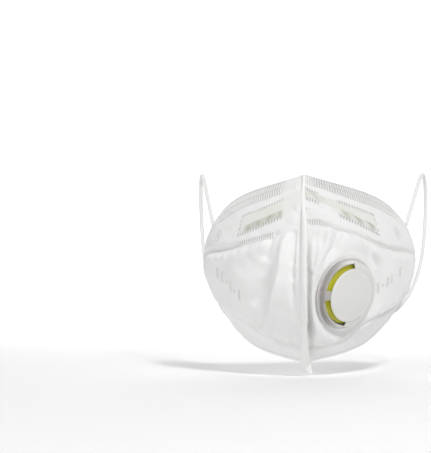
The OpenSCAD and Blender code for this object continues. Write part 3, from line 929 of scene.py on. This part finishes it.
def block(x0, x1, y0, y1, z0, z1, turn=0):
    """A box with chamfered edges, turned about Z."""
    c = 0.2
    outline = [(x0 + c, y0), (x1 - c, y0), (x1, y0 + c), (x1, y1 - c), (x1 - c, y1), (x0 + c, y1),
               (x0, y1 - c), (x0, y0 + c)]
    mid_x, mid_y = (x0 + x1) / 2, (y0 + y1) / 2
    shrink_x, shrink_y = 1 - 2 * c / (x1 - x0), 1 - 2 * c / (y1 - y0)
    small = [(mid_x + (x - mid_x) * shrink_x, mid_y + (y - mid_y) * shrink_y) for x, y in outline]
    levels = [(small, z0), (outline, z0 + c), (outline, z1 - c), (small, z1)]
    points = [(x * cos(turn) - y * sin(turn), x * sin(turn) + y * cos(turn), z)
              for ring, z in levels for x, y in ring]
    return points, tube_faces(len(levels), len(outline))


def web(start, sweep):
    """The cover's sloping skirt between two angles, closed at its ends."""
    profile = [(15.8, 6.5), (16.5, 6.95), (20.1, 5.85), (20.38, 5.6), (20.45, 4.82), (19.4, 4.82),
               (19.2, 5.3)]
    rings = int(sweep / 2) + 1
    angles = np.radians(np.linspace(start, start + sweep, rings))
    return turned(profile, angles), tube_faces(rings, len(profile))


def valve_piece(name, parts, material, replaced, painted_shades=(), body="right_half"):
    """One piece of the valve; painted_shades gives how much painted shade each of its first parts gets on
    its left side, away from the key light.
    """
    points, faces, painted_shade_values = [], [], []
    for k, (part_points, part_faces) in enumerate(parts):
        offset = len(points)
        points += [tuple(VALVE_MATRIX @ Vector(p)) for p in part_points]
        faces += [[offset + i for i in face] for face in part_faces]
        painted_shade = painted_shades[k] if k < len(painted_shades) else 0
        # Painted shade grows towards the left side, away from the key light
        painted_shade_values += [painted_shade * float(ease(-x / (0.8 * RIM_R))) for x, _, _ in part_points]
    piece = add_piece(name, points, faces, material, 35, {"painted_shade": painted_shade_values})
    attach(piece, body)
    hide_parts(replaced)


def arc_points(cr, cz, radius, start, stop, count):
    angles = np.radians(np.linspace(start, stop, count + 1))
    return [(cr + radius * cos(a), cz + radius * sin(a)) for a in angles]


# Profiles are (radius, height in front of the flange's back face)
def add_valve_body():
    spoke_l, spoke_w, back, front = 2 * BORE_R + 1, 1.4, 0.06, 1.16
    flange = ([(BORE_R, 0.06), (22.5, 0.06)] + arc_points(22.5, 0.96, 0.9, -90, 150, 14)
              + [(21.3, 1.2), (BORE_R, 1.2)])
    wall = ([(19.2, 1), (20.75, 1)] + arc_points(20.75, 1.45, 0.25, 200, 180, 2)
            + [(RIM_R, 2)] + arc_points(20.2, 4.5, 0.3, 0, 90, 5) + arc_points(19.5, 4.5, 0.3, 90, 180, 5))
    seat = ([(15.2, 1), (16.4, 1)] + arc_points(16.1, 1.95, 0.3, 0, 90, 4)
            + arc_points(15.5, 1.95, 0.3, 90, 180, 4))
    neck = [(BORE_R, -3.6), (15.3, -3.6), (15.5, -3.4), (15.5, 0.4), (BORE_R, 0.4)]
    hub = [(0, 0.06), (2.4, 0.06), (2.6, 0.26)] + arc_points(2.2, 1.16, 0.4, 0, 90, 4) + [(0, 1.56)]
    parts = [lathe(flange), lathe(wall), lathe(seat), lathe(neck), solid_lathe(hub, 48)]
    parts += [block(-spoke_l / 2, spoke_l / 2, -spoke_w / 2, spoke_w / 2, back, front, radians(turn))
              for turn in (0, 60, 120)]
    flap_holder = block(-7, 7, 15.7, 17.7, 1, 2.25)
    # Painted shade on the left side of the flange and of the rim's wall
    valve_piece("valve_body", parts + [flap_holder], VALVE, "valve_base",
                painted_shades=(0.6, 1))


def add_clamp_ring():
    clamp = ([(15.55, -3.45), (20.8, -3.45)] + arc_points(20.75, -3.2, 0.25, -90, 0, 3)
             + arc_points(20.75, -2.4, 0.25, 0, 90, 3) + [(15.55, -2.15)])
    valve_piece("valve_back_ring", [lathe(clamp)], VALVE, "valve_clamp_ring")


def add_cover():
    """A disc with a sloping border, its web down to the rim on one side, a tab and two posts."""
    disc = ([(0, 6.5), (16.4, 6.5)] + arc_points(16.4, 6.85, 0.4, -90, 20, 5)
            + arc_points(14.9, 5, 2.65, 43, 80, 6) + [(15, 7.6), (14.8, 7.5), (14.5, 7.62), (0, 7.7)])
    parts = [solid_lathe(disc, 192)] + [web(*span) for span in WEBS]
    parts += [block(x - 0.9, x + 0.9, 11.8, 13.6, 3.6, 6.6) for x in (-4, 4)]
    # Painted shade on the tab at the left
    valve_piece("valve_front_cover", parts, COVER, "valve_cover",
                painted_shades=(0, 0, 1))


def add_flap():
    """A thin disc with rounded edges, held down near its top."""
    low, high, round_off = 2.6, 3.2, 0.12
    radii = [4, 8, 12, 15, 17, 17.9, 18.3]
    profile = ([(0, low)] + [(r, low) for r in radii] + [(FLAP_R, low + round_off)]
               + [(FLAP_R, high - round_off)] + [(r, high) for r in radii[::-1]] + [(0, high)])
    valve_piece("valve_flap_disc", [solid_lathe(profile)], RUBBER, "valve_flap", body="flap")


add_valve_body()
add_clamp_ring()
add_cover()
add_flap()

# ---- welded ends of the loops ----
TAB_R, TAB_L, TAB_T, TAB_PITCH = 3.6, 11, 0.8, 1.4
# Each end's place as (u, w), its direction, and the cord's points where it leaves
TABS = {"upper": (0.93, 0.94, (0.25, 0.62, 0.6), LOOP[:2]),
        "lower": (0.93, 0.075, (0.3, 0.85, -0.1), LOOP[:-3:-1])}
# The sleeve's rings: share of the way from flat to round, place along the cord in mm, and size
SLEEVE = ((0.35, -0.5, 1), (0.8, 0, 1), (1, 0.9, 1), (1, 1.5, 1), (1, 1.6, 0.75))
CORD_MM = CORD_D / MM


def flat_tongue(origin, t, b, n, angles):
    """Rings of the ironed end, with dots pressed into its flat part."""
    rings = []
    lengths = np.concatenate([-TAB_R * np.cos(np.linspace(0.06, pi / 2, 10)), np.linspace(0.4, TAB_L, 24)])
    for s in lengths:
        if s <= 0:
            half_w = np.sqrt(max(TAB_R ** 2 - s * s, 0.02))
        else:
            half_w = TAB_R + (CORD_MM - TAB_R) * float(ease(s / 4))
        for angle in angles:
            x, z = np.array(rounded(angle, 0.6)) * (half_w, TAB_T / 2)
            dots = 0.5 + 0.5 * cos(2 * pi * s / TAB_PITCH) * cos(2 * pi * x / TAB_PITCH)
            z *= 1 - 0.35 * float(ease((5.5 - s) / 1.5)) * dots
            rings.append(origin + t * s + b * x + n * z)
    return rings


def cord_sleeve(flat_end, t, b, n, cord, angles):
    """Rings from the flat end on: a round sleeve that closes over the end of the cord."""
    rings = []
    cord_end, cord_next = (np.array(p) / MM for p in cord)
    onward = unit(cord_next - cord_end)
    sleeve_r = CORD_MM / 2 + 0.2
    for share, place, size in SLEEVE:
        centre = flat_end + (cord_end + onward * place - flat_end) * share
        ahead = unit(t + (onward - t) * share)
        across = unit(b - ahead * (b @ ahead))
        up = np.cross(across, ahead)
        up = up * np.sign(up @ n)
        half_w = (CORD_MM * (1 - share) + sleeve_r * share) * size
        half_t = (TAB_T / 2 * (1 - share) + sleeve_r * share) * size
        for angle in angles:
            x, z = rounded(angle, 0.6 + 0.4 * share)
            rings.append(centre + across * x * half_w + up * z * half_t)
    return rings


def loop_tab(which, half, side):
    """A loop's end, ironed flat on the lining and running out to the round cord."""
    u, w, direction, cord = TABS[which]
    u, w = np.array(u), np.array(w)
    n = normal_at(u, w, False)
    t = unit(np.array(direction) - n * (np.array(direction) @ n))
    b = np.cross(n, t)
    origin = at(u, w, False) - n * (STACK_T + 0.35 + TAB_T / 2)
    angles = whole_turn(20)
    points = flat_tongue(origin, t, b, n, angles) + cord_sleeve(origin + t * TAB_L, t, b, n, cord, angles)
    faces = tube_faces(len(points) // len(angles), len(angles))
    if side < 0:
        faces = [face[::-1] for face in faces]
    name = f"loop_end_{which}_{half}"
    piece = add_piece(name, np.array(points) * np.array([side, 1, 1]), faces, ELASTIC, 50)
    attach(piece, half + "_half")
    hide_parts(f"loop_tab_{which}_{half}")


for tab in TABS:
    loop_tab(tab, "right", 1)
    loop_tab(tab, "left", -1)


# ---- stage and light ----
def add_stage():
    """A pale floor that sweeps up into a backdrop."""
    floor_z = cad_box[0][2] - 0.002
    front_y, bend_y, bend_r, half_width, top_z = -3, 1.1, 0.6, 4, 3
    profile = [(front_y, floor_z), (bend_y, floor_z)]
    profile += [(bend_y + bend_r * sin(a), floor_z + bend_r * (1 - cos(a)))
                for a in np.linspace(0.1, pi / 2, 12)]
    profile += [(bend_y + bend_r, top_z)]
    points = [(x, y, z) for x in (-half_width, half_width) for y, z in profile]
    k = len(profile)
    faces = [[k + i, k + i + 1, i + 1, i] for i in range(k - 1)]
    look = Look("stage", (0.93, 0.93, 0.93), 0.9)
    tint = look.mixed(look.noise(3, 2), (0.92, 0.92, 0.92), (0.94, 0.94, 0.94))
    look.feed(tint, look.inputs["Base Color"])
    mesh_object("stage", points, faces, look.material)


def area_light(name, place, target, size, energy):
    light = bpy.data.lights.new(name, "AREA")
    light.shape = "DISK"
    light.size = size
    light.energy = energy
    aimed(name, light, place, target)


def add_lights():
    """Soft lamps and a dim white world."""
    area_light("key", (0.5, -1, 1.05), (0, -0.04, 0), 0.25, 12)
    area_light("fill", (-1.1, -0.8, 0.5), (0, -0.04, 0), 0.4, 3.8)
    area_light("top", (0, 0.2, 1.3), (0, -0.03, 0), 0.6, 1.6)
    area_light("back", (0, 1, 0.9), (0, 1.6, 0), 1.2, 14)
    world = bpy.data.worlds.new("studio")
    bpy.context.scene.world = world
    world.use_nodes = True
    background = world.node_tree.nodes["Background"]
    background.inputs["Color"].default_value = (1, 1, 1, 1)
    background.inputs["Strength"].default_value = 0.3
    bpy.context.scene.view_settings.view_transform = "Standard"


add_stage()
add_lights()
